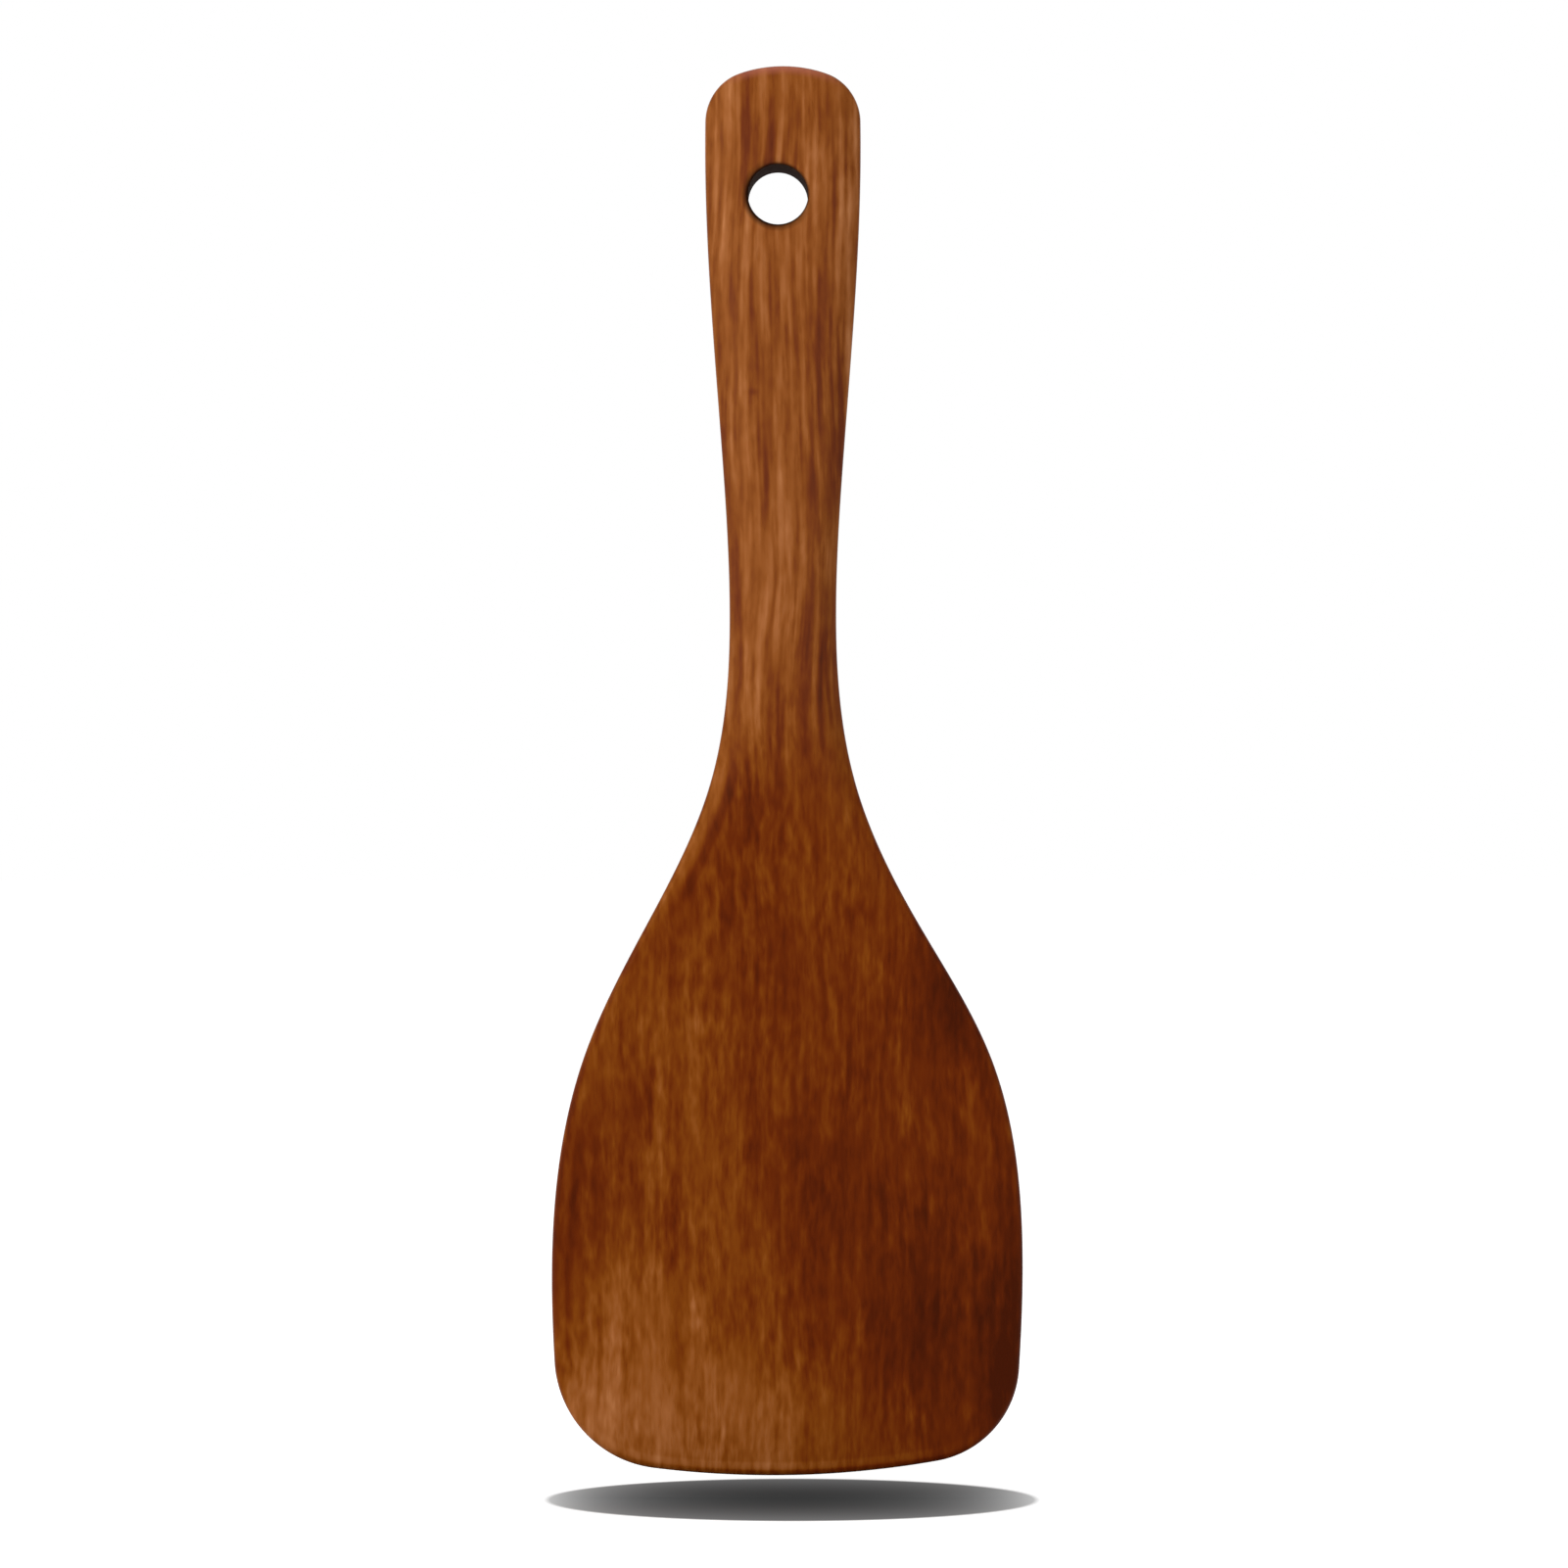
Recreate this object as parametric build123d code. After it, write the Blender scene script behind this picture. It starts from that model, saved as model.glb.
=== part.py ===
"""A wooden rice paddle, carved from one board.

The handle, the neck and the blade are a single piece of wood, so the paddle is one solid. It is
drawn as it hangs from the hole in its handle: the handle points up (+Z), the serving face looks
towards -Y, and the origin is in the middle of the hanging hole. All lengths are in millimetres.

It is made in the order in which the wood is worked: the board is sawn to its outline, its two
faces are carved from a thick rounded handle to a thin hollowed blade, the rims are rounded over,
and the hole is bored and its two mouths are bevelled.
"""

import os
from typing import NamedTuple

from build123d import *

# Heights of the stations along the paddle, as distances from the middle of the hanging hole.
# The first two lie above the hole, and the others below it
hole_to_end = 18.65
hole_to_grip = 8.3
hole_to_shank = 38.7
hole_to_neck = 59.7
hole_to_throat = 85.7
hole_to_shoulder = 105.7
hole_to_cheek = 124.7
hole_to_belly = 154.7
hole_to_tip = 185.9

# Width of the outline at each station
end_width = 22.4
grip_width = 22.6
shank_width = 17.5
neck_width = 15.5
throat_width = 21.4
shoulder_width = 39.6
cheek_width = 59.0
belly_width = 68.6
tip_width = 65.9

# The hole was bored a little to the left of the handle's middle line, and the blade was sawn a
# little to the right of it
hole_to_handle_middle = 0.7
hole_to_blade_middle = 1.35

# The end and the tip are shallow arcs between rounded corners. The tip was sawn slightly
# askew, so its left corner hangs lower, and is rounder, than its right one
end_rise = 3.4
end_corner_radius = 7.2
tip_drop = 4.0
tip_skew = 1.1
tip_left_radius = 16.5
tip_right_radius = 14.5

# Thickness of the wood on the middle line at each station
end_thickness = 9.2
grip_thickness = 9.7
shank_thickness = 10.2
neck_thickness = 10.0
throat_thickness = 9.1
shoulder_thickness = 7.1
cheek_thickness = 5.5
belly_thickness = 4.3
tip_thickness = 3.0

# How far the middle of that thickness lies behind the handle's middle plane. The blade is
# scooped: it falls back below the neck, and comes forward again at the tip
throat_setback = 0.4
shoulder_setback = 1.15
cheek_setback = 1.6
belly_setback = 1.5
tip_setback = -0.1

# How much a face stands out on the middle line over its rims. Below zero it is hollow
grip_crown = 2.4
neck_crown = 2.6
throat_front_crown = 2.1
throat_back_crown = 2.4
shoulder_front_crown = 0.6
shoulder_back_crown = 1.9
cheek_front_crown = -0.2
cheek_back_crown = 1.5
belly_front_crown = -0.5
belly_back_crown = 1.2
tip_front_crown = -0.2
tip_back_crown = 0.4

# How full a face stays before it turns down to its rims: the share of its crown that grows with
# the fourth power of the distance from the middle line, where the rest grows with the square
handle_fullness_share = 0.75
throat_fullness_share = 0.85
blade_fullness_share = 0.25

# The carved faces are lofted through this many cross-sections, evenly spaced
section_count = 25

# Both rims are rounded over all round, by no more than this share of the tip's thickness
rim_radius = 0.9
rim_limit_share = 0.45

# The hanging hole, and the bevel that eases its two mouths
hole_radius = 4.35
mouth_bevel = 0.45

# How far a cut runs past the wood, so that it cuts clean
overrun = 1.2


class Station(NamedTuple):
    """The sizes of the paddle's cross-section at one height."""

    height: float
    middle: float
    width: float
    thickness: float
    setback: float
    front_crown: float
    back_crown: float
    fullness: float


def stations():
    """The cross-sections that shape the paddle, from the handle's end to the blade's tip."""
    handle, blade = hole_to_handle_middle, hole_to_blade_middle
    full, throat_full, flat = handle_fullness_share, throat_fullness_share, blade_fullness_share
    return [
        Station(hole_to_end - end_rise, handle, end_width, end_thickness, 0,
                grip_crown, grip_crown, full),
        Station(hole_to_grip, handle, grip_width, grip_thickness, 0,
                grip_crown, grip_crown, full),
        Station(-hole_to_shank, handle, shank_width, shank_thickness, 0,
                neck_crown, neck_crown, full),
        Station(-hole_to_neck, handle, neck_width, neck_thickness, 0,
                neck_crown, neck_crown, full),
        Station(-hole_to_throat, handle, throat_width, throat_thickness, throat_setback,
                throat_front_crown, throat_back_crown, throat_full),
        Station(-hole_to_shoulder, handle, shoulder_width, shoulder_thickness, shoulder_setback,
                shoulder_front_crown, shoulder_back_crown, flat),
        Station(-hole_to_cheek, blade, cheek_width, cheek_thickness, cheek_setback,
                cheek_front_crown, cheek_back_crown, flat),
        Station(-hole_to_belly, blade, belly_width, belly_thickness, belly_setback,
                belly_front_crown, belly_back_crown, flat),
        Station(tip_drop - hole_to_tip, blade, tip_width, tip_thickness, tip_setback,
                tip_front_crown, tip_back_crown, flat),
    ]


def cut_depth():
    """How far the saw and the drill reach to the front and to the back of the middle plane."""
    return max(station.thickness for station in stations()) / 2 + overrun


def side(hand):
    """One long side of the outline: the left one has hand -1, and the right one has hand 1."""
    points = [
        Vector(station.middle + hand * station.width / 2, -cut_depth(), station.height)
        for station in stations()
    ]
    points[-1] += Vector(0, 0, hand * tip_skew / 2)
    return Spline(points)


def sawn_board():
    """The outline sawn right through the board, with its four corners rounded."""
    left, right = side(-1), side(1)
    end = ThreePointArc(left @ 0, (hole_to_handle_middle, -cut_depth(), hole_to_end), right @ 0)
    tip = ThreePointArc(left @ 1, (hole_to_blade_middle, -cut_depth(), -hole_to_tip), right @ 1)
    outline = make_face([left, end, right, tip])
    board = extrude(outline, amount=2 * cut_depth(), dir=(0, 1, 0))
    rounded = [
        (left @ 0, end_corner_radius),
        (right @ 0, end_corner_radius),
        (left @ 1, tip_left_radius),
        (right @ 1, tip_right_radius),
    ]
    for corner, radius in rounded:
        edge = board.edges().filter_by(Axis.Y).sort_by_distance(corner)[0]
        board = fillet(edge, radius)
    return board


def face_curve(section, depth, crown):
    """One face of a cross-section, which lies at depth on the middle line.

    The face falls away from there by crown at its rims, and runs on past them by the overrun.
    A fourth-degree curve with five evenly spread points holds such a fall exactly: its square
    part has the heights 1, 0, -1/3, 0, 1 there, and its fourth-power part 1, -1, 1, -1, 1.
    """
    half = section.width / 2
    reach = half + overrun
    square = (1 - section.fullness) * (reach / half) ** 2
    fourth = section.fullness * (reach / half) ** 4
    falls = [square + fourth, -fourth, fourth - square / 3, -fourth, square + fourth]
    spread = [-1, -1 / 2, 0, 1 / 2, 1]
    return Bezier([
        (section.middle + reach * across, depth + crown * fall, section.height)
        for across, fall in zip(spread, falls)
    ])


def cross_section(section):
    """A closed cross-section, a little wider than the outline at its height."""
    front = face_curve(section, section.setback - section.thickness / 2, section.front_crown)
    back = face_curve(section, section.setback + section.thickness / 2, -section.back_crown)
    return make_face([front, Line(front @ 1, back @ 1), back, Line(back @ 0, front @ 0)])


def section_guides():
    """A smooth line through the stations for each of their sizes, drawn against the height.

    The guides reach past the end and the tip by twice the overrun.
    """
    shaped = stations()
    shaped[0] = shaped[0]._replace(height=hole_to_end + 2 * overrun)
    shaped[-1] = shaped[-1]._replace(height=-hole_to_tip - 2 * overrun)
    return [
        Spline([(value, station.height) for value, station in zip(values, shaped)])
        for values in list(zip(*shaped))[1:]
    ]


def section_at(guides, height):
    """The cross-section at any height, with its sizes read off the guides."""
    level = Axis((0, height, 0), (1, 0, 0))
    return Station(height, *[guide.find_intersection_points(level)[0].X for guide in guides])


def carving():
    """The space between the two carved faces, from beyond the end to beyond the tip."""
    guides = section_guides()
    top = hole_to_end + overrun
    span = top + hole_to_tip + overrun
    heights = [top - span * index / (section_count - 1) for index in range(section_count)]
    return loft([cross_section(section_at(guides, height)) for height in heights])


def rounded_rims(blank):
    """The blank with both of its rims rounded over, all the way round."""
    faces = blank.faces().sort_by(Axis.Y)
    rims = faces[0].edges() + faces[-1].edges()
    return fillet(rims, min(rim_radius, tip_thickness * rim_limit_share))


def bored(blank):
    """The blank with the hanging hole bored through it, and the hole's mouths bevelled."""
    drill = Cylinder(hole_radius, 2 * cut_depth(), rotation=(90, 0, 0))
    blank -= drill
    wall = blank.faces().filter_by(GeomType.CYLINDER).sort_by_distance((0, 0, 0))[0]
    mouths = wall.edges().filter_by(GeomType.LINE, reverse=True)
    return chamfer(mouths, mouth_bevel)


def paddle():
    """The whole paddle, in the order in which it is made."""
    return bored(rounded_rims(sawn_board() & carving()))


def main():
    """Writes the paddle's only piece."""
    os.makedirs("parts", exist_ok=True)
    export_step(paddle(), "parts/paddle.step")


main()
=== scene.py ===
"""A rice paddle carved from one board of reddish-brown wood, hanging upright in a pale studio.

Sizes are in millimetres and tones are linear colours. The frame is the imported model's own: the
origin is the middle of the hanging hole, +Z runs up the handle, and the serving face looks
towards -Y. Meshes and lamps are written in metres.
"""

import logging
import math
from dataclasses import dataclass, field
from enum import Enum
from typing import Callable, NamedTuple, Sequence, Union

import bpy
import numpy as np
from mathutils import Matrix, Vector, geometry, noise


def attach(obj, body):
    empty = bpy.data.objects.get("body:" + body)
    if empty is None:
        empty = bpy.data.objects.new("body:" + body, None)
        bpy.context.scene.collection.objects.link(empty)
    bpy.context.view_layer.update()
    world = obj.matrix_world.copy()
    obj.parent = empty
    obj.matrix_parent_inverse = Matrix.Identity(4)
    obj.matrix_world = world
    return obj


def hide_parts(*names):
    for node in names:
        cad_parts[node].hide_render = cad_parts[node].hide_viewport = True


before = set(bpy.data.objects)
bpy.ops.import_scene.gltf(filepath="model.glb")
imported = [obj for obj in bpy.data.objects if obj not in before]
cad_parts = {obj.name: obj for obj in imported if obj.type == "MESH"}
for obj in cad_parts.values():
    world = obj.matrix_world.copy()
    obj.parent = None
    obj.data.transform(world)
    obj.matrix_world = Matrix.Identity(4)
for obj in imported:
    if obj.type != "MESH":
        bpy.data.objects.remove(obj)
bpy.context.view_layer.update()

MM = 0.001
MM_PER_METRE = 1000.0
MERGE_DISTANCE = 1e-7
NO_RISE = 1e-12

log = logging.getLogger("rice_paddle")

Colour = tuple[float, float, float]
Curve = Callable[[float], np.ndarray]
Easing = tuple[float, float, np.ndarray]
Socket = bpy.types.NodeSocket
Plug = Union[Socket, float, Colour]


class Face(Enum):
    """The two carved faces of the paddle, as the direction in which each looks along Y."""

    FRONT = -1
    BACK = 1


class Mark(Enum):
    """What the mesh tells the finish about each of its points."""

    DEPTH = "depth_from_outline"
    # How far into the hole a point lies: it sets the hole's painted shade and its dullness.
    BORE = "bore_wall"


class Role(Enum):
    """What a lamp does in the studio."""

    KEY = "key_lamp"
    FILL = "fill_lamp"
    TOP = "top_lamp"


class Station(NamedTuple):
    """The sizes of the paddle's cross-section at one height, in millimetres."""

    height: float
    middle: float
    width: float
    thickness: float
    setback: float
    front_crown: float
    back_crown: float
    fullness: float


class Batten:
    """A smooth line through fixed points, as a thin wooden batten bends between pins."""

    def __init__(self, marks: Sequence[float], values: np.ndarray) -> None:
        """Bends the batten.

        Args:
            marks: Places along the batten, in rising order.
            values: The values it passes through, one row for each mark.
        """
        self.marks = np.asarray(marks, float)
        self.values = np.asarray(values, float).reshape(len(self.marks), -1)
        gaps = np.diff(self.marks)
        system = np.eye(len(self.marks))
        pull = np.zeros_like(self.values)
        for index in range(1, len(self.marks) - 1):
            before, after = gaps[index - 1], gaps[index]
            system[index, index - 1:index + 2] = before, 2 * (before + after), after
            rise_after = (self.values[index + 1] - self.values[index]) / after
            rise_before = (self.values[index] - self.values[index - 1]) / before
            pull[index] = 6 * (rise_after - rise_before)
        self.bends = np.linalg.solve(system, pull)

    def at(self, places: np.ndarray) -> np.ndarray:
        """Reads the batten.

        Args:
            places: Places along the batten.

        Returns:
            One row of values for each place.
        """
        places = np.atleast_1d(places)
        index = np.clip(np.searchsorted(self.marks, places) - 1, 0, len(self.marks) - 2)
        gap = (self.marks[index + 1] - self.marks[index])[:, None]
        left = (self.marks[index + 1] - places)[:, None]
        right = (places - self.marks[index])[:, None]
        bend_a, bend_b = self.bends[index], self.bends[index + 1]
        value_a, value_b = self.values[index], self.values[index + 1]
        return (
            (bend_a * left**3 + bend_b * right**3) / (6 * gap)
            + (value_a / gap - bend_a * gap / 6) * left
            + (value_b / gap - bend_b * gap / 6) * right
        )


def arc_through(start: np.ndarray, middle: np.ndarray, end: np.ndarray) -> Curve:
    """Draws the circular arc through three points.

    Args:
        start: Where the arc starts.
        middle: A point on it.
        end: Where it ends.

    Returns:
        The arc, as a function of a share from 0 to 1.
    """
    rows = 2 * np.array([middle - start, end - start])
    centre = np.linalg.solve(rows, [middle @ middle - start @ start, end @ end - start @ start])
    radius = np.linalg.norm(start - centre)
    first, half_way, last = (math.atan2(*(p - centre)[::-1]) for p in (start, middle, end))
    turn = (last - first + math.pi) % (2 * math.pi) - math.pi
    if abs((half_way - first + math.pi) % (2 * math.pi) - math.pi) > abs(turn):
        turn -= math.copysign(2 * math.pi, turn)
    return lambda share: centre + radius * np.array(
        [math.cos(first + turn * share), math.sin(first + turn * share)]
    )


def inward(curve: Curve, share: float) -> np.ndarray:
    """Finds the unit normal on the left of a curve: inwards, on an anticlockwise outline.

    Args:
        curve: The curve.
        share: Where on it.

    Returns:
        The normal.
    """
    step = 1e-4
    along = curve(share + step) - curve(share - step)
    return np.array([-along[1], along[0]]) / np.linalg.norm(along)


@dataclass
class Outline:
    """The paddle's sawn outline, seen from the front, as one anticlockwise loop.

    The end and the tip are shallow arcs between rounded corners. The inset keeps the whole loop
    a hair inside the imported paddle's.
    """

    stations: Sequence[Station]
    hole_to_end: float = 18.65
    hole_to_tip: float = 185.9
    tip_skew: float = 1.1
    end_corner: float = 7.2
    tip_left_corner: float = 16.5
    tip_right_corner: float = 14.5
    spacing: float = 0.8
    corner_spacing: float = 0.5
    side_samples: int = 400
    corner_rounds: int = 40
    corner_step: float = 0.05
    inset: float = 0.01

    def side(self, hand: int) -> Curve:
        """Bends one long side.

        Args:
            hand: -1 for the left side, 1 for the right side.

        Returns:
            The side from its end corner to its tip corner.
        """
        points = np.array([[s.middle + hand * s.width / 2, s.height] for s in self.stations])
        points[-1, 1] += hand * self.tip_skew / 2
        marks = np.concatenate([[0], np.cumsum(np.linalg.norm(np.diff(points, axis=0), axis=1))])
        batten = Batten(marks, points)
        return lambda share: batten.at(share * marks[-1])[0]

    def eased(self, first: Curve, second: Curve, radius: float) -> Easing:
        """Finds the round corner between two curves that meet.

        Args:
            first: The curve that ends at the corner.
            second: The curve that starts there.
            radius: The corner's radius.

        Returns:
            Where the round leaves the first curve and joins the second, and its centre.
        """
        step = self.corner_step
        shares = np.array([1 - step, step])

        def miss(pair: np.ndarray) -> np.ndarray:
            """The distance between the two curves' candidates for the round's centre."""
            return (first(pair[0]) + radius * inward(first, pair[0])
                    - second(pair[1]) - radius * inward(second, pair[1]))

        nudge = 1e-5
        for _ in range(self.corner_rounds):
            slopes = np.column_stack([
                (miss(shares + nudge * axis) - miss(shares)) / nudge for axis in np.eye(2)
            ])
            shares = shares - np.clip(np.linalg.solve(slopes, miss(shares)), -step, step)
        return shares[0], shares[1], first(shares[0]) + radius * inward(first, shares[0])

    def loop(self) -> tuple[np.ndarray, np.ndarray]:
        """Samples the whole outline.

        Returns:
            The points as rows of X and Z, and the inward normal at each.
        """
        left, right = self.side(-1), self.side(1)
        end_middle = np.array([self.stations[0].middle, self.hole_to_end])
        tip_middle = np.array([self.stations[-1].middle, -self.hole_to_tip])
        curves = [
            arc_through(right(0), end_middle, left(0)),
            left,
            arc_through(left(1), tip_middle, right(1)),
            lambda share: right(1 - share),
        ]
        radii = [self.end_corner, self.tip_left_corner, self.tip_right_corner, self.end_corner]
        corners = [
            self.eased(curves[turn], curves[(turn + 1) % 4], radii[turn]) for turn in range(4)
        ]
        points: list[np.ndarray] = []
        for turn, curve in enumerate(curves):
            start, stop = corners[turn - 1][1], corners[turn][0]
            points += self.even(curve, start, stop)
            points += self.corner(curve(stop), corners[turn], curves[(turn + 1) % 4])
        loop = np.array(points)
        along = np.roll(loop, -1, axis=0) - np.roll(loop, 1, axis=0)
        along /= np.linalg.norm(along, axis=1)[:, None]
        normals = np.column_stack([-along[:, 1], along[:, 0]])
        return loop + self.inset * normals, normals

    def even(self, curve: Curve, start: float, stop: float) -> list[np.ndarray]:
        """Spaces points evenly on a stretch of a curve, without its last one.

        Args:
            curve: The curve.
            start: The share at which the stretch starts.
            stop: The share at which it ends.

        Returns:
            The points.
        """
        shares = np.linspace(start, stop, self.side_samples)
        fine = np.array([curve(share) for share in shares])
        run = np.concatenate([[0], np.cumsum(np.linalg.norm(np.diff(fine, axis=0), axis=1))])
        count = max(2, round(run[-1] / self.spacing))
        wanted = np.linspace(0, run[-1], count + 1)[:-1]
        return list(np.column_stack([np.interp(wanted, run, fine[:, axis]) for axis in (0, 1)]))

    def corner(self, start: np.ndarray, easing: Easing, following: Curve) -> list[np.ndarray]:
        """Spaces points evenly on a rounded corner, without its last one.

        Args:
            start: Where the round starts.
            easing: What eased gives for the corner.
            following: The curve that the round joins.

        Returns:
            The points.
        """
        centre = easing[2]
        spoke, last = start - centre, following(easing[1]) - centre
        turn = math.atan2(spoke[0] * last[1] - spoke[1] * last[0], spoke @ last)
        count = max(4, round(abs(turn) * np.linalg.norm(spoke) / self.corner_spacing))
        angles = np.linspace(0, turn, count + 1)[:-1]
        across = np.array([-spoke[1], spoke[0]])
        return [centre + spoke * math.cos(a) + across * math.sin(a) for a in angles]


@dataclass
class HandWork:
    """The faint unevenness that a scraper and sandpaper leave on a carved face.

    It has broad waves, and narrower facets that run along the board.
    """

    depth: float = 0.10
    across: float = 9.0
    along: float = 26.0
    facet_depth: float = 0.05
    facet_across: float = 4.0
    facet_along: float = 34.0
    facet_seed: float = 7.0

    def at(self, x: float, z: float, seed: float) -> float:
        """How far the wood lies under its true face, never below zero.

        Args:
            x: Place across the paddle.
            z: Place along it.
            seed: Tells one face from the other.

        Returns:
            The depth.
        """
        wide = noise.noise(Vector((x / self.across, seed, z / self.along)))
        narrow = noise.noise(
            Vector((x / self.facet_across, seed + self.facet_seed, z / self.facet_along))
        )
        return (self.depth * (1 + wide) + self.facet_depth * (1 + narrow)) / 2


@dataclass
class CarvedBoard:
    """The whole paddle: handle, neck and blade in one board, with its hanging hole."""

    name: str = "paddle_wood"
    stations: tuple[Station, ...] = (
        Station(15.25, 0.7, 22.4, 9.2, 0.0, 2.4, 2.4, 0.75),
        Station(8.3, 0.7, 22.6, 9.7, 0.0, 2.4, 2.4, 0.75),
        Station(-38.7, 0.7, 17.5, 10.2, 0.0, 2.6, 2.6, 0.75),
        Station(-59.7, 0.7, 15.5, 10.0, 0.0, 2.6, 2.6, 0.75),
        Station(-85.7, 0.7, 21.4, 9.1, 0.4, 2.1, 2.4, 0.85),
        Station(-105.7, 0.7, 39.6, 7.1, 1.15, 0.6, 1.9, 0.25),
        Station(-124.7, 1.35, 59.0, 5.5, 1.6, -0.2, 1.5, 0.25),
        Station(-154.7, 1.35, 68.6, 4.3, 1.5, -0.5, 1.2, 0.25),
        Station(-181.9, 1.35, 65.9, 3.0, -0.1, -0.2, 0.4, 0.25),
    )
    guide_overrun: float = 2.4
    rim_radius: float = 0.9
    rim_steps: int = 6
    inner_rings: tuple[float, ...] = (1.9, 2.9)
    hole_radius: float = 4.35
    mouth_ease: float = 0.45
    mouth_steps: int = 4
    mouth_ring: float = 1.1
    darkening_angle: float = 3.8
    darkening_reach: float = 0.8
    hole_points: int = 80
    bore_steps: int = 8
    drill_marks: float = 0.03
    drill_pattern: tuple[float, float] = (2.0, 2.5)
    grid: float = 1.05
    gap_share: float = 0.6
    hand_work: HandWork = field(default_factory=HandWork)

    def __post_init__(self) -> None:
        """Bends the guides that give the section's sizes, a little past the end and the tip."""
        self.outline = Outline(self.stations)
        top = self.outline.hole_to_end + self.guide_overrun
        bottom = -self.outline.hole_to_tip - self.guide_overrun
        shaped = list(self.stations)
        shaped[0] = shaped[0]._replace(height=top)
        shaped[-1] = shaped[-1]._replace(height=bottom)
        rows = np.array(shaped[::-1])
        self.guides = Batten(rows[:, 0], rows[:, 1:])
        self.points: list[tuple[float, float, float]] = []
        self.faces: list[tuple[int, ...]] = []
        self.marks: dict[Mark, dict[int, float]] = {mark: {} for mark in Mark}

    def stand_out(self, x: np.ndarray, z: np.ndarray, face: Face) -> np.ndarray:
        """How far a face stands out from the middle plane, with the marks of hand work.

        Args:
            x: Places across the paddle.
            z: Places along it.
            face: Which face.

        Returns:
            One distance for each place.
        """
        middle, width, thickness, setback, front, back, fullness = self.guides.at(z).T
        crown = front if face is Face.FRONT else back
        out = (x - middle) / (width / 2)
        fall = crown * ((1 - fullness) * out**2 + fullness * out**4)
        uneven = np.array([self.hand_work.at(a, b, face.value) for a, b in zip(x, z)])
        return thickness / 2 + face.value * setback - fall - uneven

    def add(self, x: np.ndarray, out: np.ndarray, z: np.ndarray, face: Face) -> list[int]:
        """Adds points to the mesh.

        Args:
            x: Places across the paddle.
            out: How far they stand out from the middle plane.
            z: Places along the paddle.
            face: On which side of the middle plane they lie.

        Returns:
            The points' numbers.
        """
        start = len(self.points)
        self.points += [(a, face.value * b, c) for a, b, c in zip(x, out, z)]
        return list(range(start, len(self.points)))

    def band(self, first: list[int], second: list[int], face: Face) -> None:
        """Joins two closed rings of points with a band of quads.

        Args:
            first: The outer ring.
            second: The inner ring.
            face: The face on which the band lies.
        """
        count = len(first)
        for index in range(count):
            after = (index + 1) % count
            quad = (first[index], first[after], second[after], second[index])
            self.faces.append(quad if face is Face.FRONT else quad[::-1])

    def mark(self, kind: Mark, numbers: Sequence[int], values: Sequence[float]) -> None:
        """Notes a mark's value at some points."""
        self.marks[kind].update(zip(numbers, values))

    def rim(self, loop: np.ndarray, normals: np.ndarray, face: Face) -> list[list[int]]:
        """Rounds one rim over, from the sawn side to the carved face.

        Args:
            loop: The outline.
            normals: Its inward normals.
            face: The face on which the rim lies.

        Returns:
            The rings of points, from the outermost to the innermost.
        """
        radius = self.rim_radius
        at_rim = self.stand_out(loop[:, 0], loop[:, 1], face)
        inner = loop + normals * radius
        slope = np.arctan((self.stand_out(inner[:, 0], inner[:, 1], face) - at_rim) / radius)
        centre = at_rim + radius * np.tan(slope) - radius / np.cos(slope)
        rings = []
        for step in range(self.rim_steps + 1):
            angle = (math.pi / 2 - slope) * step / self.rim_steps
            depth = radius * (1 - np.cos(angle))
            place = loop + normals * depth[:, None]
            ring = self.add(place[:, 0], centre + radius * np.sin(angle), place[:, 1], face)
            self.mark(Mark.DEPTH, ring, depth)
            rings.append(ring)
        for depth_in in self.inner_rings:
            place = loop + normals * depth_in
            out = self.stand_out(place[:, 0], place[:, 1], face)
            ring = self.add(place[:, 0], out, place[:, 1], face)
            self.mark(Mark.DEPTH, ring, [depth_in] * len(ring))
            rings.append(ring)
        for outer, following in zip(rings, rings[1:]):
            self.band(outer, following, face)
        return rings

    def mouth(self, face: Face) -> list[list[int]]:
        """Eases one mouth of the hanging hole.

        Args:
            face: The face on which the mouth lies.

        Returns:
            The rings of points, from the widest to the hole's own wall.
        """
        angles = np.linspace(0, 2 * math.pi, self.hole_points, endpoint=False)
        spokes = np.column_stack([np.cos(angles), np.sin(angles)])
        wide = spokes * (self.hole_radius + self.mouth_ring)
        out = self.stand_out(wide[:, 0], wide[:, 1], face)
        rings = [self.add(wide[:, 0], out, wide[:, 1], face)]
        lip = spokes * (self.hole_radius + self.mouth_ease)
        level = self.stand_out(lip[:, 0], lip[:, 1], face)
        for step in range(self.mouth_steps + 1):
            angle = math.pi / 2 * step / self.mouth_steps
            place = spokes * (self.hole_radius + self.mouth_ease * (1 - math.sin(angle)))
            out = level - self.mouth_ease * (1 - math.cos(angle))
            ring = self.add(place[:, 0], out, place[:, 1], face)
            self.mark(Mark.BORE, ring, self.mouth_darkening(angles, step / self.mouth_steps))
            rings.append(ring)
        for outer, following in zip(rings, rings[1:]):
            self.band(outer, following, face)
        return rings

    def mouth_darkening(self, angles: np.ndarray, inward_share: float) -> np.ndarray:
        """How dark each place on the mouth is painted: darkest inwards, as painted shade going
        into the hole, and darker on its lower left.

        Args:
            angles: Places round the mouth, anticlockwise from the right.
            inward_share: How far in they lie, from 0 at the lip to 1 at the wall.

        Returns:
            One share for each place.
        """
        turned = (1 + np.cos(angles - self.darkening_angle)) / 2
        return np.clip(inward_share + self.darkening_reach * turned, 0, 1)

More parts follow.
